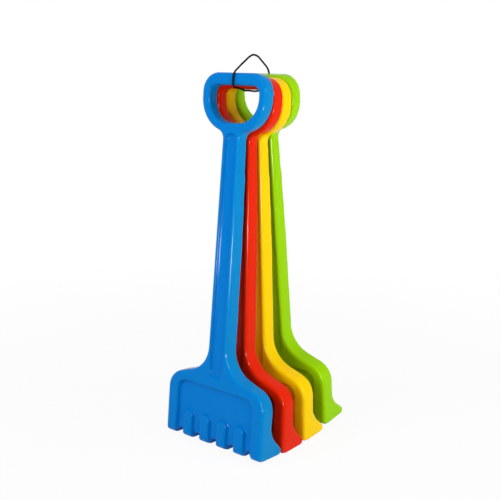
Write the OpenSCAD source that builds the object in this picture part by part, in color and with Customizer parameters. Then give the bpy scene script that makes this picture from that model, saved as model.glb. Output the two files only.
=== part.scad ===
// Four stacked sand rakes held together by a cord loop through their grips.
// Each rake is built upright in its own frame: X across, Y back from its front face, Z up from
// the undersides of its teeth. Then it is leaned and moved to its place in the stack.

/* [Rake] */
// Length of a rake, from the tooth undersides to the top of the grip
rake_l = 500; // [420:1:580]
// Depth of the grip and the shaft's top from front to back
body_t = 18; // [14:0.5:22]
// Depth of the head and the shaft's lower part
head_t = 23; // [19:0.5:27]
// Height at which the shaft has the head's depth
taper_z = 260; // [180:1:340]
// Wall thickness of the moulded shell
wall = 2; // [1.6:0.1:3]
// Radius of the rounded edge all round the front face
edge_r = 5; // [3:0.5:6]

/* [Grip] */
// Width of the grip
grip_w = 105; // [96:1:120]
// Height of the bar along the top of the grip
grip_bar_h = 16; // [14:1:22]
// Width of the bow down the sides and under the opening
grip_bow_w = 12.5; // [9:0.5:16]
// Height of the grip from the underside of the bow to the top
grip_h = 76; // [70:1:90]
// Radius of the bow's lower bends, at the outside
bow_r = 44; // [36:1:46]
// Radius of the grip's top corners, at the outside
grip_corner_r = 24; // [18:1:28]
// Radius of the opening's top corners
hole_corner_r = 11; // [8:1:14]

/* [Shaft] */
// Width of the shaft just under the grip
shaft_top_w = 28; // [24:1:34]
// Width of the shaft just above the head
shaft_low_w = 32; // [28:1:38]
// Radius between the grip and the shaft
throat_r = 12; // [8:1:18]
// Radius between the shaft and the head's shoulders
neck_r = 41; // [26:1:46]
// Width of the rim left beside the groove in the shaft's front
groove_rim = 5.5; // [5:0.5:8]
// Depth of the groove
groove_d = 5.5; // [2:0.5:7]
// Height left between the groove's lower end and the head's sunken panel
groove_gap = 14; // [10:1:24]

/* [Head] */
// Width of the head
head_w = 167; // [160:1:190]
// Height of the centre of the shoulder bend above the tooth undersides
shoulder_z = 66; // [60:1:80]
// Radius of the shoulder bend
shoulder_r = 27; // [20:1:32]
// Slope of the shoulder's top edge
shoulder_slope = 19; // [10:1:24]
// Width of the frame left round the sunken panel
panel_rim = 18; // [15:0.5:22]
// Height of the panel's top edge above the tooth undersides
panel_z = 81; // [72:1:84]
// Depth of the sunken panel
panel_d = 7; // [4:0.5:8]
// Radius of the panel's top corners
panel_corner_r = 14; // [10:1:20]
// How far the sides of panel, groove and ribs lean inwards
side_draft = 2; // [1:0.5:3]

/* [Teeth] */
// Number of teeth
tooth_n = 6; // [4:1:7]
// Width of a tooth
tooth_w = 17; // [13:0.5:19]
// Reach of a tooth back from the front face
tooth_l = 50; // [44:1:58]
// Height of the rounded top of a tooth's rib in the panel
rib_z = 40; // [34:1:56]
// Height of the panel's lower edge between the teeth
web_z = 8.5; // [5:0.5:12]
// Radius of a tooth's rounded tip
tip_r = 5; // [4:0.5:6]
// Height at which a tooth starts to sweep back
sweep_z = 51; // [46:1:60]
// Radius of that sweep
sweep_r = 40; // [32:1:44]

/* [Stack] */
// Free space between two grips where they touch
grip_gap = 0.4; // [0.3:0.1:1]
// Free space between a tooth tip and the next head
tooth_gap = 2; // [1.5:0.5:4]
// How far the tie holds the front rake above the middle two
front_lift = 6.5; // [0:0.5:9]
// How far the tie holds the back rake above the middle two
back_lift = 7.5; // [0:0.5:9]

/* [Tie] */
// Diameter of the cord
tie_d = 2.5; // [1.8:0.1:2.6]

/* [Hidden] */
edge_steps = 4;
bend_steps = 9;
past = 1;

// Grip
bow_x = grip_w / 2 - bow_r;
bow_z = rake_l - grip_h + bow_r;
hole_half_w = grip_w / 2 - grip_bow_w;

// The throat bend touches the bow and the shaft's side
throat_x = shaft_top_w / 2 + throat_r;
throat_z = bow_z - sqrt(pow(bow_r + throat_r, 2) - pow(throat_x - bow_x, 2));
throat_a = atan2(bow_z - throat_z, bow_x - throat_x);

// The neck bend touches the shaft's side and the sloped shoulder
shoulder_x = head_w / 2 - shoulder_r;
neck_x = shaft_low_w / 2 + neck_r;
neck_z = shoulder_z + (shoulder_r + neck_r - (neck_x - shoulder_x) * sin(shoulder_slope)) / cos(shoulder_slope);
foot_r = edge_r + 1;

// Groove in the shaft
groove_top_r = shaft_top_w / 2 - groove_rim;
groove_low_r = shaft_low_w / 2 - groove_rim;
groove_top_z = throat_z;
groove_low_z = panel_z + groove_gap + groove_low_r;

// Teeth
tooth_pitch = (head_w - tooth_w) / (tooth_n - 1);
tooth_x = [for (i = [0 : tooth_n - 1]) tooth_w / 2 - head_w / 2 + i * tooth_pitch];
panel_half_w = head_w / 2 - panel_rim;

// Each rake's grip touches the next one where the wall under its top bar ends. The red rake is
// upright, and the others open out from it until their teeth clear the next head.
bar_z = rake_l - grip_bar_h + wall;
pitch = tooth_l + tooth_gap;
fan = atan((pitch - body_t - grip_gap) / bar_z);
lean_blue = -fan;
lean_yellow = fan;
lean_green = 2 * fan;

// Places of the rakes' front lower edges
red_to_blue = -(bar_z * sin(fan) + body_t * cos(fan) + grip_gap);
red_to_yellow = pitch;
yellow_to_green = body_t * cos(fan) - rake_l * sin(fan) + grip_gap
    + (rake_l * cos(fan) + body_t * sin(fan) - back_lift) * tan(2 * fan);
stack_front = red_to_blue + edge_r * (cos(fan) + sin(fan) - 1);
stack_back = red_to_yellow + yellow_to_green + (tooth_l - tip_r) * cos(2 * fan) - tip_r * sin(2 * fan) + tip_r;
red_y = -(stack_front + stack_back) / 2;
blue_y = red_y + red_to_blue;
yellow_y = red_y + red_to_yellow;
green_y = yellow_y + yellow_to_green;

// Route of the tie, on a plane across the grips: places back and up, from its knot round to it again
tie_x = 1;
knot_d = 5;
knot_place = [8, 495];
tie_places = [
    [8, 494], [7.8, 491], [6.2, 488.2], [1.5, 487.1], [-5, 486.2], [-10, 484.2], [-14.5, 482.4], [-20, 481.8],
    [-27, 481.5], [-33, 482], [-40, 482.4], [-46, 482.4], [-50.5, 483.6], [-55, 484.7], [-60, 485.7], [-66, 486.6],
    [-69.8, 488.2], [-71.1, 492.5], [-70.6, 499], [-68.8, 504.6], [-61, 511], [-48, 519.5], [-37, 526], [-31, 528],
    [-25, 527.5], [-20, 526], [-13, 521.5], [-6.3, 517.1], [0.9, 511.7], [4.3, 506.4], [5.7, 502.5], [8, 496]
];
tie_steps = 2;

module rake_blue() {
    color("#0078d4") rake_at(blue_y, front_lift, lean_blue);
}

module rake_red() {
    color("#e4220a") rake_at(red_y, 0, 0);
}

module rake_yellow() {
    color("#ffd000") rake_at(yellow_y, 0, lean_yellow);
}

module rake_green() {
    color("#9bd000") rake_at(green_y, back_lift, lean_green);
}

// A positive lean brings the grip forwards
module rake_at(y, z, lean) {
    translate([0, y, z]) rotate([lean, 0, 0]) rake();
}

module rake() {
    difference() {
        union() {
            loft([for (s = edge_rings(head_t)) on_plane(rake_outline(s[0]), s[1])]);
            for (x = tooth_x) tooth(x);
        }
        loft([for (s = edge_rings(head_t + past)) on_plane(hole_outline(-s[0]), s[1] - 0.01)]);
        behind_grip();
        shell_space();
        panel();
        loft([for (s = dish_rings(groove_d)) on_plane(groove_outline(s[0]), s[1])]);
        for (i = [0 : tooth_n - 2]) tooth_space(tooth_x[i] + tooth_pitch / 2);
    }
}

// Takes the back off where the shaft gets thinner up to the grip
module behind_grip() {
    translate([-head_w / 2, 0, 0]) rotate([90, 0, 90]) linear_extrude(head_w) polygon([
        [head_t, taper_z],
        [head_t + past, taper_z],
        [head_t + past, rake_l + past],
        [body_t, rake_l + past],
        [body_t, throat_z]
    ]);
}

// A tooth sweeps back from the head and ends in a rounded tip
module tooth(x) {
    translate([x - tooth_w / 2, 0, 0]) rotate([90, 0, 90]) linear_extrude(tooth_w) polygon(concat(
        arc(edge_r, edge_r, edge_r, 180, 270, 3),
        arc(tooth_l - tip_r, tip_r, tip_r, -90, 45, 6),
        arc(head_t + sweep_r, sweep_z, sweep_r, 225, 180, 6),
        [[edge_r, sweep_z]]
    ));
}

// Notch between two teeth, under the panel
module tooth_space(x) {
    gap_w = tooth_pitch - tooth_w;
    extrude_back(-past, head_t + past) translate([x, 0]) polygon(concat(
        [[-gap_w / 2, -past]],
        arc(0, web_z - gap_w / 6, gap_w / 2, 180, 0, 6, 1 / 3),
        [[gap_w / 2, -past]]
    ));
}

// The shell is open at the back. Its front wall follows the panel and the groove.
module shell_space() {
    difference() {
        extrude_back(wall, tooth_l + past) difference() {
            polygon(rake_outline(wall));
            polygon(hole_outline(-wall));
        }
        extrude_back(0, panel_d + wall) polygon(panel_outline(-wall));
        extrude_back(0, groove_d + wall) polygon(groove_outline(0));
        translate([-head_w / 2, 0, 0]) cube([head_w, tooth_l + 2 * past, web_z + wall]);
        for (x = tooth_x) extrude_back(0, tooth_l + 2 * past) polygon(rib_outline(x, 0));
    }
    for (x = tooth_x) extrude_back(wall, tooth_l + 2 * past) intersection() {
        polygon(rib_outline(x, wall));
        translate([-head_w, wall]) square([2 * head_w, rake_l]);
    }
}

// Sunken panel, out of which the teeth's ribs stand
module panel() {
    difference() {
        loft([for (s = dish_rings(panel_d)) on_plane(panel_outline(s[0]), s[1])]);
        for (x = tooth_x) loft([
            on_plane(rib_outline(x, side_draft), -2 * past),
            on_plane(rib_outline(x, side_draft), 0),
            on_plane(rib_outline(x, 0), panel_d),
            on_plane(rib_outline(x, 0), panel_d + past)
        ]);
    }
}

// One cord, which starts and ends in its knot behind the back grip
module tie() {
    color("#141414") {
        loft([for (i = [0 : len(tie_path) - 1]) tie_ring(i)]);
        translate([tie_x, knot_place[0], knot_place[1]]) sphere(d = knot_d, $fn = 24);
    }
}

// Points of an arc, where squash flattens it upwards
function arc(x, y, r, from, to, steps, squash = 1) =
    [for (i = [0 : steps]) let (a = from + (to - from) * i / steps) [x + r * cos(a), y + squash * r * sin(a)]];

// Right-hand half from the top down, then its mirror image from the bottom up
function both_sides(half) =
    concat(half, [for (i = [len(half) - 1 : -1 : 0]) [-half[i][0], half[i][1]]]);

function rake_outline(inset) = both_sides(concat(
    arc(grip_w / 2 - grip_corner_r, rake_l - grip_corner_r, grip_corner_r - inset, 90, 0, bend_steps),
    arc(bow_x, bow_z, bow_r - inset, 0, throat_a - 180, bend_steps),
    arc(throat_x, throat_z, throat_r + inset, throat_a, 180, bend_steps - 2),
    arc(neck_x, neck_z, neck_r + inset, 180, 270 - shoulder_slope, bend_steps),
    arc(shoulder_x, shoulder_z, shoulder_r - inset, 90 - shoulder_slope, 0, bend_steps),
    arc(head_w / 2 - foot_r, foot_r, foot_r - inset, 0, -90, 3)
));

function hole_outline(inset) = both_sides(concat(
    arc(hole_half_w - hole_corner_r, rake_l - grip_bar_h - hole_corner_r, hole_corner_r - inset, 90, 0, 5),
    arc(bow_x, bow_z, bow_r - grip_bow_w - inset, 0, -90, bend_steps)
));

function groove_outline(inset) = both_sides(concat(
    arc(0, groove_top_z, groove_top_r - inset, 85, 0, 5),
    arc(0, groove_low_z, groove_low_r - inset, 0, -85, 5)
));

function panel_outline(inset) = both_sides(concat(
    arc(panel_half_w - panel_corner_r, panel_z - panel_corner_r, panel_corner_r - inset, 90, 0, 6),
    [[panel_half_w - inset, -past]]
));

function rib_outline(x, inset) =
    let (r = tooth_w / 2 - inset)
    [for (p = both_sides(concat(arc(0, rib_z - tooth_w / 2, r, 85, 0, 6), [[r, -2 * past]]))) [x + p[0], p[1]]];

// Pairs of inset and depth: a rounded front edge, then straight back
function edge_rings(depth) = concat(
    [for (i = [0 : edge_steps]) let (a = 90 * i / edge_steps) [edge_r * (1 - sin(a)), edge_r * (1 - cos(a))]],
    [[0, depth]]
);

// Pairs of inset and depth: straight in from the front, then drafted down to the floor
function dish_rings(depth) = [[0, -past], [0, 0], [side_draft, depth]];

function on_plane(points, y) = [for (p = points) [p[0], y, p[1]]];

// A smooth curve through places, one between each pair of them
function smooth(p, steps) = let (last = len(p) - 1) concat(
    [for (i = [0 : last - 1], s = [0 : steps - 1]) let (
        t = s / steps,
        before = p[max(i - 1, 0)],
        after = p[min(i + 2, last)],
        start = (p[i + 1] - before) / 2,
        end = (after - p[i]) / 2
    ) p[i] + t * start + t * t * (3 * (p[i + 1] - p[i]) - 2 * start - end)
        + t * t * t * (2 * (p[i] - p[i + 1]) + start + end)],
    [p[last]]
);

tie_path = smooth(tie_places, tie_steps);

function tie_ring(i) = let (
    ahead = tie_path[min(i + 1, len(tie_path) - 1)] - tie_path[max(i - 1, 0)],
    up = [-ahead[1], ahead[0]] / norm(ahead) * tie_d / 2
) [for (k = [0 : 7]) let (a = -45 * k) concat([tie_x + tie_d / 2 * cos(a)], tie_path[i] + sin(a) * up)];

// Skin over rings that have the same number of points. Each end is closed by strips from side to side.
module loft(rings) {
    n = len(rings[0]);
    last = n * (len(rings) - 1);
    polyhedron(
        points = [for (ring = rings) each ring],
        faces = concat(
            [for (i = [0 : n / 2 - 2]) [i, i + 1, n - 2 - i, n - 1 - i]],
            [for (i = [0 : n / 2 - 2]) [last + n - 1 - i, last + n - 2 - i, last + i + 1, last + i]],
            [for (k = [0 : len(rings) - 2], i = [0 : n - 1])
                [k * n + i, (k + 1) * n + i, (k + 1) * n + (i + 1) % n, k * n + (i + 1) % n]]
        )
    );
}

// Stands a flat outline up, from one depth behind the front face to another
module extrude_back(from, to) {
    translate([0, to, 0]) rotate([90, 0, 0]) linear_extrude(to - from) children();
}

rake_blue();
rake_red();
rake_yellow();
rake_green();
tie();
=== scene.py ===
from math import atan2, cos, degrees, pi, radians, sin, sqrt

import bmesh
import bpy
from mathutils import Matrix, Vector


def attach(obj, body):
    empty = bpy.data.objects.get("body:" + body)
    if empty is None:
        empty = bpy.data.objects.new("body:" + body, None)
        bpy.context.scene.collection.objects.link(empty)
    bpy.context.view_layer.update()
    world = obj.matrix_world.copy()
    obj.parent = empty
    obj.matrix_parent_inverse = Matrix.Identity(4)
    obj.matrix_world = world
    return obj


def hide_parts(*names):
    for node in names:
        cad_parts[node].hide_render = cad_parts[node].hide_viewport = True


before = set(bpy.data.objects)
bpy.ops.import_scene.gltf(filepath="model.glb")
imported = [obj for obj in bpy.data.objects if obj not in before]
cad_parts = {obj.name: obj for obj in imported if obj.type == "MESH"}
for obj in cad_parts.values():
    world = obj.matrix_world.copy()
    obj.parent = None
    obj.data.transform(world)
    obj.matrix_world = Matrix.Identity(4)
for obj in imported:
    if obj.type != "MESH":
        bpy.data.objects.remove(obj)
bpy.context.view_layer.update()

mm = 0.001
scene = bpy.context.scene
scene.view_settings.view_transform = "Standard"


# Camera at the photograph's place. Lengths in mm, angles in degrees.
cameraValues = {
    "azimuth": 36.954,    # to the right of the rakes' fronts
    "distance": 1141.5,   # from the middle of the stack, in plan
    "height": 505.7,
    "turn": -0.79,        # away from the stack's middle
    "tilt": 11.964,       # down
    "roll": 1.45,
    "focal": 838.5,       # focal length in pixels of the picture
    "picture": 500,       # its width in pixels
    "sensor": 36,
    "clip": (0.05, 50),   # metres
}


def makeCamera(values):
    camera = bpy.data.objects.new("camera", bpy.data.cameras.new("camera"))
    camera.data.sensor_width = values["sensor"]
    camera.data.lens = values["focal"] / values["picture"] * values["sensor"]
    camera.data.clip_start, camera.data.clip_end = values["clip"]
    azimuth = radians(values["azimuth"])
    place = Vector((sin(azimuth), -cos(azimuth), 0)) * values["distance"] * mm
    place.z = values["height"] * mm
    heading = Matrix.Rotation(azimuth - radians(values["turn"]), 4, "Z")
    tilt = Matrix.Rotation(pi / 2 - radians(values["tilt"]), 4, "X")
    roll = Matrix.Rotation(radians(values["roll"]), 4, "Z")
    camera.matrix_world = Matrix.Translation(place) @ heading @ tilt @ roll
    scene.collection.objects.link(camera)
    scene.camera = camera


makeCamera(cameraValues)
print("camera placed")


def srgb(hexColour):
    # A hex colour as linear red, green, blue and alpha
    parts = [int(hexColour[i:i + 2], 16) / 255 for i in (1, 3, 5)]
    return [c / 12.92 if c <= 0.04045 else ((c + 0.055) / 1.055) ** 2.4 for c in parts] + [1]


def addNode(tree, kind, settings={}, links={}):
    # A link's value is a socket, or a plain value for the input
    node = tree.nodes.new(kind)
    for name, value in settings.items():
        setattr(node, name, value)
    for name, value in links.items():
        if isinstance(value, bpy.types.NodeSocket):
            tree.links.new(value, node.inputs[name])
        else:
            node.inputs[name].default_value = value
    return node


def newMaterial(name):
    material = bpy.data.materials.new(name)
    material.use_nodes = True
    material.node_tree.nodes.clear()
    return material, material.node_tree


# Cord of braided polyester: its strands give a matt, slightly ribbed black
cordFinish = {
    "colour": "#020203",
    "strand": 8.8,        # mm from band to band, far coarser than the real 0.3 so that it shows
    "waveFactor": 10,     # the wave node's own factor for diagonal bands
    "wander": 1.5,
    "detail": 2,
    "roughness": 0.6,
    "specular": 0.05,
    "relief": 0.35,
    "reliefDepth": 0.15,  # mm
}


def makeCordMaterial(values):
    material, tree = newMaterial("braided polyester cord, black")
    place = addNode(tree, "ShaderNodeTexCoord")
    strands = addNode(tree, "ShaderNodeTexWave", {"wave_type": "BANDS", "bands_direction": "DIAGONAL"}, {
        "Vector": place.outputs["Object"], "Distortion": values["wander"], "Detail": values["detail"],
        "Scale": 2 * pi / (values["waveFactor"] * values["strand"] * mm)})
    relief = addNode(tree, "ShaderNodeBump", {}, {
        "Height": strands.outputs["Fac"], "Strength": values["relief"],
        "Distance": values["reliefDepth"] * mm})
    shader = addNode(tree, "ShaderNodeBsdfPrincipled", {}, {
        "Base Color": srgb(values["colour"]), "Roughness": values["roughness"],
        "Specular IOR Level": values["specular"], "Normal": relief.outputs["Normal"]})
    addNode(tree, "ShaderNodeOutputMaterial", {}, {"Surface": shader.outputs["BSDF"]})
    return material


# The tie goes from its knot forward under the grips' bars, up in front of the blue one and back
# over the top. Places are in mm, back and up, on a plane across the stack.
tieValues = {
    "across": 1,
    "thickness": 2.5,
    "ringSteps": 3, "lengthSteps": 5,
    "knot": (8, 495),
    "knotSize": (0.62, 0.33, 1.1),   # across, back and up
    "knotSteps": 18,
    "places": [
        (8, 494), (7.8, 491), (6.2, 488.2), (1.5, 487.1), (-5, 486.2), (-10, 484.2), (-14.5, 482.4),
        (-20, 481.8), (-27, 481.5), (-33, 482), (-40, 482.4), (-46, 482.4), (-50.5, 483.6), (-55, 484.7),
        (-60, 485.7), (-66, 486.6), (-69.8, 488.2), (-71.1, 492.5), (-70.6, 499), (-68.8, 504.6),
        (-61, 511), (-48, 519.5), (-37, 526), (-31, 528), (-25, 527.5), (-20, 526), (-13, 521.5),
        (-6.3, 517.1), (0.9, 511.7), (4.3, 506.4), (5.7, 502.5), (8, 496),
    ],
}


def curveObject(name, places, values, material, closed=False):
    curve = bpy.data.curves.new(name, "CURVE")
    curve.dimensions = "3D"
    curve.bevel_depth = values["thickness"] / 2 * mm
    curve.bevel_resolution, curve.resolution_u = values["ringSteps"], values["lengthSteps"]
    curve.use_fill_caps = True
    spline = curve.splines.new("BEZIER")
    spline.bezier_points.add(len(places) - 1)
    spline.use_cyclic_u = closed
    for point, place in zip(spline.bezier_points, places):
        point.co = Vector(place) * mm
        point.handle_left_type = point.handle_right_type = "AUTO"
    curve.materials.append(material)
    piece = bpy.data.objects.new(name, curve)
    scene.collection.objects.link(piece)
    return piece


def makeTie(values):
    cord = makeCordMaterial(cordFinish)
    across = values["across"]
    loop = curveObject("tieLoop", [(across, y, z) for y, z in values["places"]], values, cord)
    # The knot is a small trefoil pulled tight behind the green grip
    knotY, knotZ = values["knot"]
    wide, deep, high = values["knotSize"]
    wraps = []
    for i in range(values["knotSteps"]):
        a = 2 * pi * i / values["knotSteps"]
        wraps.append((across + wide * (sin(a) + 2 * sin(2 * a)), knotY + deep * (cos(a) - 2 * cos(2 * a)),
                      knotZ - high * sin(3 * a)))
    knot = curveObject("tieKnot", wraps, values, cord, closed=True)
    for piece in (loop, knot):
        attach(piece, "red")
    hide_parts("tie")


makeTie(tieValues)


# One rake, in mm, in its own upright frame: x across, y back from the front face, z up from the teeth
rakeValues = {
    "length": 500, "wall": 2, "edgeRound": 5,
    "depth": 18, "headDepth": 23,
    "taperUp": 260,       # height where the head's depth starts to go over to the grip's
    "gripWidth": 105, "gripHeight": 76, "gripBar": 16, "gripBow": 12.5, "bowRound": 44, "gripCorner": 24,
    "holeCorner": 11,
    "shaftTop": 28, "shaftLow": 32, "throatRound": 12, "neckRound": 41,
    "grooveRim": 5.5, "grooveDepth": 5.5,
    "grooveGap": 14,      # from the panel up to the groove
    "headWidth": 167, "shoulderUp": 66, "shoulderRound": 27, "shoulderSlope": 19,
    "lowCorner": 6,       # rounding of the head's lower corners, seen from the front
    "panelRim": 18, "panelUp": 81, "panelDepth": 7, "panelCorner": 14,
    "panelLow": -3,       # the panel's open end, below the feet
    "draft": 2,           # narrowing of the panel and the groove towards their floors
    "teeth": 6, "toothWidth": 17, "toothReach": 50, "tipRound": 6, "sweepUp": 51, "sweepRound": 40,
    "ribUp": 40,
    "webUp": 8.5,         # top of the gap between two teeth
    "gapFlatness": 3,     # half the width of the gap's arch against its height
    "footRound": 9,       # rounding along the lower front edge of all teeth
    "footCorner": 4.5,    # rounding of a rib's lower corners
    "footWall": 6,        # thickness of a tooth under its hollow
    "ribRound": 4,        # rounding along the front of each rib
    "toothRound": 3,      # and along a tooth's side edges
    "rimSoftness": 1.5,   # rounding at the mouth of the panel and the groove
    "panelSoftness": (2, 2),       # width and depth of the rounding around the panel's floor
    "grooveSoftness": (1.2, 1.5),  # and along the groove's floor
    "voxel": 1.3,
    "softening": 0.5, "smoothing": 4,
    "triangles": 190000,
}
past = 1              # mm that a cutting solid starts outside what it cuts
wellPast = 5          # the same where it has to clear the feet and the tips too
archEnd = 82          # degrees, where an arch's arc goes over to the one edge at its middle
joinDistance = 0.01
upAxis = Vector((0, 0, 1))
acrossAxis = Vector((1, 0, 0))
backAxis = Vector((0, 1, 0))


def sharp(across, up):
    # A bend with no rounding
    return across, up, 0, 0, 0, 0


def drawOutline(bends, mirrored=True, plane=acrossAxis):
    # A bend is (across, up, radius, first angle, last angle, steps); straight lines join the bends
    bm = bmesh.new()
    last = None
    for x, z, radius, first, final, steps in bends:
        centre = plane * x + upAxis * z
        start = centre + radius * (plane * cos(radians(first)) + upAxis * sin(radians(first)))
        vert = bmesh.ops.create_vert(bm, co=start)["vert"][0]
        if last:
            bm.edges.new((last, vert))
        last = vert
        if radius > 0:
            turned = bmesh.ops.spin(bm, geom=[vert], cent=centre, axis=plane.cross(upAxis),
                                    angle=radians(final - first), steps=steps)
            last = [g for g in turned["geom_last"] if isinstance(g, bmesh.types.BMVert)][0]
    if mirrored:
        bmesh.ops.mirror(bm, geom=bm.verts[:] + bm.edges[:], axis="X", merge_dist=joinDistance)
    else:
        bm.verts.ensure_lookup_table()
        bm.edges.new((last, bm.verts[0]))
    bmesh.ops.remove_doubles(bm, verts=bm.verts, dist=joinDistance)
    bmesh.ops.contextual_create(bm, geom=bm.edges[:])
    return bm


def pushFace(bm, face, direction):
    moved = bmesh.ops.extrude_face_region(bm, geom=[face])["geom"]
    bmesh.ops.translate(bm, verts=[g for g in moved if isinstance(g, bmesh.types.BMVert)], vec=direction)
    bmesh.ops.recalc_face_normals(bm, faces=bm.faces)
    return [g for g in moved if isinstance(g, bmesh.types.BMFace)][0]


def stackRings(bends, start, straight, steps=()):
    # A solid from the outline at depth start, straight back or forward, then through steps of (shrink, way)
    bm = drawOutline(bends)
    bmesh.ops.translate(bm, verts=bm.verts, vec=backAxis * start)
    bm.faces.ensure_lookup_table()
    face = pushFace(bm, bm.faces[0], backAxis * straight)
    for shrink, way in steps:
        bmesh.ops.inset_region(bm, faces=[face], thickness=shrink, depth=way, use_even_offset=True)
    bmesh.ops.recalc_face_normals(bm, faces=bm.faces)
    return bm


def sideSolid(bends, half):
    # A solid from a side view, back and up, reaching half to the left and half to the right
    bm = drawOutline(bends, mirrored=False, plane=backAxis)
    bmesh.ops.translate(bm, verts=bm.verts, vec=acrossAxis * -half)
    bm.faces.ensure_lookup_table()
    pushFace(bm, bm.faces[0], acrossAxis * half * 2)
    return bm


def roundSteps(radius, segments=5):
    # Shrink and way of a rounded edge, from its straight side to its face
    angles = [pi / 2 * i / segments for i in range(segments + 1)]
    return [(radius * (cos(a) - cos(b)), radius * (sin(b) - sin(a))) for a, b in zip(angles, angles[1:])]


def flareSteps(radius, segments=5):
    # The same for a hole's rounded mouth, from the front face inwards
    return [(way, shrink) for shrink, way in roundSteps(radius, segments)]


def dishSteps(v, depth, softness, segments):
    # From a rounded mouth down a slightly leaning wall to the rounding around the floor
    rim = v["rimSoftness"]
    wide, deep = softness
    return [*flareSteps(rim, 3), (v["draft"] / 2, depth - rim - deep),
            *((shrink * wide, way * deep) for shrink, way in roundSteps(1, segments))]


def toObject(bm, name):
    mesh = bpy.data.meshes.new(name)
    bm.to_mesh(mesh)
    bm.free()
    piece = bpy.data.objects.new(name, mesh)
    scene.collection.objects.link(piece)
    return piece


def applyModifiers(piece):
    graph = bpy.context.evaluated_depsgraph_get()
    mesh = bpy.data.meshes.new_from_object(piece.evaluated_get(graph))
    piece.modifiers.clear()
    piece.data = mesh


def combine(piece, operation, tools):
    for tool in tools:
        other = toObject(tool, "tool") if isinstance(tool, bmesh.types.BMesh) else tool
        step = piece.modifiers.new("step", "BOOLEAN")
        step.operation, step.solver, step.object = operation, "MANIFOLD", other
        applyModifiers(piece)
        bpy.data.objects.remove(other)


def rakeBends(v, inset=0):
    # Right-hand half of the front view, from the top of the grip to the middle between the teeth
    half = v["gripWidth"] / 2
    bowX, bowZ = half - v["bowRound"], v["length"] - v["gripHeight"] + v["bowRound"]
    throatX = v["shaftTop"] / 2 + v["throatRound"]
    throatZ = bowZ - sqrt((v["bowRound"] + v["throatRound"]) ** 2 - (throatX - bowX) ** 2)
    throatAngle = degrees(atan2(bowZ - throatZ, bowX - throatX))
    slope = v["shoulderSlope"]
    shoulderX = v["headWidth"] / 2 - v["shoulderRound"]
    neckX = v["shaftLow"] / 2 + v["neckRound"]
    neckZ = v["shoulderUp"] + (v["shoulderRound"] + v["neckRound"]
                               - (neckX - shoulderX) * sin(radians(slope))) / cos(radians(slope))
    low = v["lowCorner"]
    return [
        sharp(0, v["length"] - inset),
        (half - v["gripCorner"], v["length"] - v["gripCorner"], v["gripCorner"] - inset, 90, 0, 10),
        (bowX, bowZ, v["bowRound"] - inset, 0, throatAngle - 180, 14),
        (throatX, throatZ, v["throatRound"] + inset, throatAngle, 180, 8),
        (neckX, neckZ, v["neckRound"] + inset, 180, 270 - slope, 12),
        (shoulderX, v["shoulderUp"], v["shoulderRound"] - inset, 90 - slope, 0, 12),
        (v["headWidth"] / 2 - low, low, low - inset, 0, -90, 5),
        sharp(0, inset),
    ], throatZ


def holeBends(v, inset=0):
    half = v["gripWidth"] / 2 - v["gripBow"]
    bowX, bowZ = v["gripWidth"] / 2 - v["bowRound"], v["length"] - v["gripHeight"] + v["bowRound"]
    top = v["length"] - v["gripBar"]
    return [
        sharp(0, top - inset),
        (half - v["holeCorner"], top - v["holeCorner"], v["holeCorner"] - inset, 90, 0, 8),
        (bowX, bowZ, v["bowRound"] - v["gripBow"] - inset, 0, -90, 12),
        sharp(0, bowZ - v["bowRound"] + v["gripBow"] + inset),
    ]


def grooveBends(v, throatZ, inset=0):
    topRound = v["shaftTop"] / 2 - v["grooveRim"]
    lowRound = v["shaftLow"] / 2 - v["grooveRim"]
    lowZ = v["panelUp"] + v["grooveGap"] + lowRound
    return [
        sharp(0, throatZ + topRound - inset),
        (0, throatZ, topRound - inset, archEnd, 0, 8),
        (0, lowZ, lowRound - inset, 0, -archEnd, 8),
        sharp(0, lowZ - lowRound + inset),
    ]


def panelBends(v, inset, low):
    half, corner = v["headWidth"] / 2 - v["panelRim"], v["panelCorner"]
    return [
        sharp(0, v["panelUp"] - inset),
        (half - corner, v["panelUp"] - corner, corner - inset, 90, 0, 8),
        sharp(half - inset, low),
        sharp(0, low),
    ]


def ribBends(v, inset=0, low=0, corner=0):
    half = v["toothWidth"] / 2
    return [
        sharp(0, v["ribUp"] - inset),
        (0, v["ribUp"] - half, half - inset, archEnd, 0, 8),
        (half - inset - corner, low + corner, corner, 0, -90, 4),
        sharp(0, low),
    ]


def toothSide(v):
    # Side view, back and up: flat underside, rounded tip and the sweep up to the back of the head.
    # It starts just behind the panel's floor, so that it doesn't show there.
    front, tip = v["panelDepth"] + past, v["tipRound"]
    return [
        sharp(front, 0),
        (v["toothReach"] - tip, tip, tip, -90, 45, 8),
        (v["headDepth"] + v["sweepRound"], v["sweepUp"], v["sweepRound"], 225, 180, 10),
        sharp(front, v["sweepUp"]),
    ]


def repeated(bm, places):
    # The same solid at several places across
    single = bm.verts[:] + bm.edges[:] + bm.faces[:]
    bmesh.ops.translate(bm, verts=bm.verts, vec=acrossAxis * places[0])
    for place in places[1:]:
        copy = bmesh.ops.duplicate(bm, geom=single)["geom"]
        bmesh.ops.translate(bm, verts=[g for g in copy if isinstance(g, bmesh.types.BMVert)],
                            vec=acrossAxis * (place - places[0]))
    return bm


def makeTooth(v):
    # All edges of its two outline faces are rounded
    bm = sideSolid(toothSide(v), v["toothWidth"] / 2)
    sides = [f for f in bm.faces if len(f.verts) > 4]
    bmesh.ops.bevel(bm, geom=[e for f in sides for e in f.edges], offset=v["toothRound"],
                    offset_type="OFFSET", affect="EDGES", segments=3, profile=0.5, material=-1,
                    clamp_overlap=True)
    return bm


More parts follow.
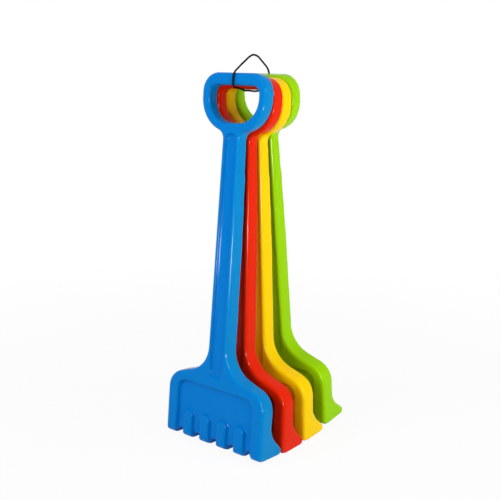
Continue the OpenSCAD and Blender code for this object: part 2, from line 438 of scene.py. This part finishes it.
def makeGap(v, width):
    # Arched gap under the panel, between two teeth
    half, low, flatness = width / 2, -2 * past, v["gapFlatness"]
    top = v["webUp"] - half / flatness
    bm = stackRings([(0, top, half, 90, 0, 6), sharp(half, low), sharp(0, low)], -past,
                    v["headDepth"] + 2 * past)
    arch = [vert for vert in bm.verts if vert.co.z > top]
    bmesh.ops.scale(bm, vec=(1, 1, 1 / flatness), verts=arch, space=Matrix.Translation((0, 0, -top)))
    return bm


def makeFront(v, throatZ, teeth, pitch):
    # The whole rake as a solid slab: cut out first, then its ribs and teeth, and its feet rounded last
    edge, rim = v["edgeRound"], v["rimSoftness"]
    body = toObject(stackRings(rakeBends(v)[0], v["headDepth"], edge - v["headDepth"], roundSteps(edge)),
                    "rake")
    # The back is taken off where the shaft gets thinner up to the grip
    behind, above = v["headDepth"] + past, v["length"] + past
    upperBack = sideSolid([sharp(v["headDepth"], v["taperUp"]), sharp(behind, v["taperUp"]),
                           sharp(behind, above), sharp(v["depth"], above), sharp(v["depth"], throatZ)],
                          v["headWidth"])
    straightOn = (0.001, v["depth"])   # an inset takes no step without a width
    opening = stackRings(holeBends(v, -edge), -past, past, flareSteps(edge) + [straightOn])
    panel = stackRings(panelBends(v, -rim, v["panelLow"]), -past, past,
                       dishSteps(v, v["panelDepth"], v["panelSoftness"], 5))
    groove = stackRings(grooveBends(v, throatZ, -rim), -past, past,
                        dishSteps(v, v["grooveDepth"], v["grooveSoftness"], 6))
    gaps = repeated(makeGap(v, pitch - v["toothWidth"]), [x + pitch / 2 for x in teeth[:-1]])
    combine(body, "DIFFERENCE", [upperBack, opening, panel, groove, gaps])

    rib = stackRings(ribBends(v, corner=v["footCorner"]), v["depth"], v["ribRound"] - v["depth"],
                     roundSteps(v["ribRound"]))
    combine(body, "UNION", [repeated(rib, teeth[1:-1]), repeated(makeTooth(v), teeth)])

    foot = v["footRound"]
    combine(body, "DIFFERENCE", [sideSolid([
        sharp(-past, -past), sharp(foot, -past), (foot, foot, foot, -90, -180, 8), sharp(-past, foot),
    ], v["headWidth"])])
    return body


def hollowOut(body, v, throatZ, teeth):
    # Hollow behind the front wall, open at the back; what stands behind the hole, the panel, the groove
    # and the gaps between the teeth stays
    wall, deep = v["wall"], v["toothReach"] + 2 * past
    webTop = v["webUp"] + wall
    hollow = toObject(stackRings(rakeBends(v, wall)[0], wall, deep), "hollow")
    combine(hollow, "DIFFERENCE", [
        stackRings(holeBends(v, -wall), -past, deep + wellPast),
        stackRings(panelBends(v, -wall, -wellPast), -past, v["panelDepth"] + wall + past),
        stackRings(grooveBends(v, throatZ, -wall), -past, v["grooveDepth"] + wall + past),
        stackRings([sharp(0, webTop), sharp(v["headWidth"], webTop), sharp(v["headWidth"], -wellPast),
                    sharp(0, -wellPast)], -past, deep + wellPast),
        repeated(stackRings(ribBends(v, low=-wellPast), -past, deep + wellPast), teeth),
    ])
    inTeeth = repeated(stackRings(ribBends(v, wall, low=v["footWall"]), wall, deep), teeth)
    combine(body, "DIFFERENCE", [hollow, inTeeth])


def makeSkin(body, v):
    # One even skin with soft inner corners, as a moulding has
    skin = body.modifiers.new("skin", "REMESH")
    skin.mode, skin.voxel_size, skin.adaptivity = "VOXEL", v["voxel"], 0
    soften = body.modifiers.new("soften", "SMOOTH")
    soften.factor, soften.iterations = v["softening"], v["smoothing"]
    applyModifiers(body)
    thin = body.modifiers.new("thin", "DECIMATE")
    triangles = sum(len(p.vertices) - 2 for p in body.data.polygons)
    thin.ratio = min(1, v["triangles"] / triangles)
    applyModifiers(body)
    print("rake skin,", triangles, "triangles, thinned to", len(body.data.polygons))


def makeRakeShape(v):
    # The teeth are given by their middles, evenly across the head
    throatZ = rakeBends(v)[1]
    pitch = (v["headWidth"] - v["toothWidth"]) / (v["teeth"] - 1)
    teeth = [(i - (v["teeth"] - 1) / 2) * pitch for i in range(v["teeth"])]
    body = makeFront(v, throatZ, teeth, pitch)
    hollowOut(body, v, throatZ, teeth)
    print("rake cut out,", len(body.data.polygons), "faces")
    makeSkin(body, v)
    return body.data


# Glossy moulded polypropylene: deep even colour, soft sheen and the faint unevenness of a mould's flow
plasticFinish = {
    "ior": 1.49, "specular": 0.05,
    "roughness": 0.16, "roughnessSpread": 0.04,
    "flow": 22,           # mm between the flow's duller patches
    "flowDetail": 3, "flowRoughness": 0.55, "flowRange": (0.3, 0.7),
    "grain": 4.8,         # mm, coarser than the real mould's 0.2 so that it shows
    "grainDetail": 2,
    "relief": 0.05,
    "reliefDepth": 0.3,   # mm
}


def makePlastic(name, colour, v):
    material, tree = newMaterial(name)
    place = addNode(tree, "ShaderNodeTexCoord")
    flow = addNode(tree, "ShaderNodeTexNoise", {}, {
        "Vector": place.outputs["Object"], "Scale": 1 / (v["flow"] * mm),
        "Detail": v["flowDetail"], "Roughness": v["flowRoughness"]})
    low, high = v["flowRange"]
    gloss = addNode(tree, "ShaderNodeMapRange", {}, {
        "Value": flow.outputs["Fac"], "From Min": low, "From Max": high,
        "To Min": v["roughness"] - v["roughnessSpread"], "To Max": v["roughness"] + v["roughnessSpread"]})
    grain = addNode(tree, "ShaderNodeTexNoise", {}, {
        "Vector": place.outputs["Object"], "Scale": 1 / (v["grain"] * mm), "Detail": v["grainDetail"]})
    relief = addNode(tree, "ShaderNodeBump", {}, {
        "Height": grain.outputs["Fac"], "Strength": v["relief"], "Distance": v["reliefDepth"] * mm})
    shader = addNode(tree, "ShaderNodeBsdfPrincipled", {}, {
        "Base Color": srgb(colour), "Roughness": gloss.outputs["Result"], "IOR": v["ior"],
        "Specular IOR Level": v["specular"], "Normal": relief.outputs["Normal"]})
    addNode(tree, "ShaderNodeOutputMaterial", {}, {"Surface": shader.outputs["BSDF"]})
    return material


# Where each rake stands: mm back and up of its front lower edge, and how far its top leans forward
# in degrees
stackValues = {
    "blue": {"back": -102.699, "up": 6.5, "lean": -3.955, "colour": "#0082d6"},
    "red": {"back": -50.822, "up": 0, "lean": 0, "colour": "#e62400"},
    "yellow": {"back": 1.178, "up": 0, "lean": 3.955, "colour": "#ffcd00"},
    "green": {"back": 53.482, "up": 7.5, "lean": 7.91, "colour": "#9bd000"},
}


def placeRake(shape, body, v):
    mesh = shape.copy()
    mesh.name = f"{body}Rake"
    mesh.transform(Matrix.Scale(mm, 4) @ Matrix.Translation((0, v["back"], v["up"]))
                   @ Matrix.Rotation(radians(v["lean"]), 4, "X"))
    mesh.materials.clear()
    mesh.materials.append(makePlastic(f"moulded polypropylene, glossy {body}", v["colour"], plasticFinish))
    mesh.shade_smooth()
    piece = bpy.data.objects.new(f"{body}Rake", mesh)
    scene.collection.objects.link(piece)
    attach(piece, body)
    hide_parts(f"rake_{body}")


rakeShape = makeRakeShape(rakeValues)
for body, values in stackValues.items():
    placeRake(rakeShape, body, values)
bpy.data.objects.remove(bpy.data.objects["rake"])
print("four rakes placed")


# Pale floor that fades into the white round it, in metres
studioValues = {
    "floorRadius": 4.0, "floorSides": 64,
    "fadeFrom": 0.25, "fadeTo": 1.2,
    "floorWhite": 0.93,   # how white the floor shows under the rakes
    "floorPaint": 0.85,   # and what it gives back to them
    "around": 0.22,       # light from all sides
}


def addSeen(tree):
    # 1 where the camera or a gloss sees the surface, 0 where it only gives light
    ray = addNode(tree, "ShaderNodeLightPath")
    seen = addNode(tree, "ShaderNodeMath", {"operation": "ADD", "use_clamp": True},
                   {0: ray.outputs["Is Camera Ray"], 1: ray.outputs["Is Glossy Ray"]})
    return ray, seen


def makeFloor(v):
    material, tree = newMaterial("pale studio floor")
    place = addNode(tree, "ShaderNodeTexCoord")
    reach = addNode(tree, "ShaderNodeVectorMath", {"operation": "LENGTH"}, {0: place.outputs["Object"]})
    fade = addNode(tree, "ShaderNodeMapRange", {"interpolation_type": "SMOOTHSTEP"}, {
        "Value": reach.outputs["Value"], "From Min": v["fadeFrom"], "From Max": v["fadeTo"],
        "To Min": v["floorWhite"], "To Max": 1.0})
    paint = addNode(tree, "ShaderNodeBsdfDiffuse", {}, {"Color": [v["floorPaint"]] * 3 + [1]})
    white = addNode(tree, "ShaderNodeEmission", {}, {"Color": (1, 1, 1, 1), "Strength": 1.0})
    seen = addSeen(tree)[1]
    share = addNode(tree, "ShaderNodeMath", {"operation": "MULTIPLY"},
                    {0: seen.outputs[0], 1: fade.outputs["Result"]})
    mix = addNode(tree, "ShaderNodeMixShader", {},
                  {0: share.outputs[0], 1: paint.outputs[0], 2: white.outputs[0]})
    addNode(tree, "ShaderNodeOutputMaterial", {}, {"Surface": mix.outputs[0]})
    bm = bmesh.new()
    bmesh.ops.create_circle(bm, cap_ends=True, radius=v["floorRadius"], segments=v["floorSides"])
    floor = toObject(bm, "floor")
    floor.data.materials.append(material)


def makeWorld(v):
    world = bpy.data.worlds.new("studio")
    scene.world = world
    world.use_nodes = True
    tree = world.node_tree
    tree.nodes.clear()
    ray, seen = addSeen(tree)
    through = addNode(tree, "ShaderNodeMath", {"operation": "ADD", "use_clamp": True},
                      {0: seen.outputs[0], 1: ray.outputs["Is Transmission Ray"]})
    strength = addNode(tree, "ShaderNodeMapRange", {},
                       {"Value": through.outputs[0], "To Min": v["around"], "To Max": 1.0})
    sky = addNode(tree, "ShaderNodeBackground", {},
                  {"Color": (1, 1, 1, 1), "Strength": strength.outputs["Result"]})
    addNode(tree, "ShaderNodeOutputWorld", {}, {"Surface": sky.outputs[0]})


# Soft studio lamps, in metres and degrees. Each looks at a height in the middle of the stack, from an
# azimuth and a rise. The light lamps light the surfaces, the streak lamps only show in their gloss.
lampValues = {
    "right": {"aim": 0.2, "azimuth": 102, "rise": 10, "distance": 1.6, "size": (0.6, 1.2),
              "power": 16.5, "colour": "#ecfcd4", "use": "light"},
    "front": {"aim": 0.25, "azimuth": -14, "rise": 26, "distance": 1.8, "size": (0.5, 0.8),
              "power": 14, "colour": "#eef4ff", "use": "light"},
    "over": {"aim": 0.25, "azimuth": 30, "rise": 80, "distance": 1.6, "size": (1.2, 1.2),
             "power": 6, "colour": "#ffffff", "use": "light"},
    "grips": {"aim": 0.46, "azimuth": 54, "rise": -4, "distance": 0.55, "size": (0.1, 0.06),
              "power": 0.8, "colour": "#fff8e8", "use": "light"},
    "streak": {"aim": 0.25, "azimuth": 66, "rise": 24, "distance": 1.5, "size": (0.05, 0.14),
               "power": 22, "colour": "#ffffff", "use": "streaks"},
    "lowStreak": {"aim": 0.25, "azimuth": 58, "rise": -6, "distance": 0.9, "size": (0.03, 0.06),
                  "power": 14, "colour": "#ffffff", "use": "streaks"},
}


def makeLamp(name, v):
    lamp = bpy.data.lights.new(name, "AREA")
    lamp.shape, lamp.energy, lamp.color = "RECTANGLE", v["power"], srgb(v["colour"])[:3]
    lamp.size, lamp.size_y = v["size"]
    side, lift = radians(v["azimuth"]), radians(v["rise"])
    way = Vector((sin(side) * cos(lift), -cos(side) * cos(lift), sin(lift)))
    stand = bpy.data.objects.new(name, lamp)
    place = Matrix.Translation(upAxis * v["aim"] + way * v["distance"])
    stand.matrix_world = place @ way.to_track_quat("Z", "Y").to_matrix().to_4x4()
    stand.visible_glossy, stand.visible_diffuse = v["use"] == "streaks", v["use"] == "light"
    scene.collection.objects.link(stand)


makeFloor(studioValues)
makeWorld(studioValues)
for name, values in lampValues.items():
    makeLamp(name, values)
print("studio lit")
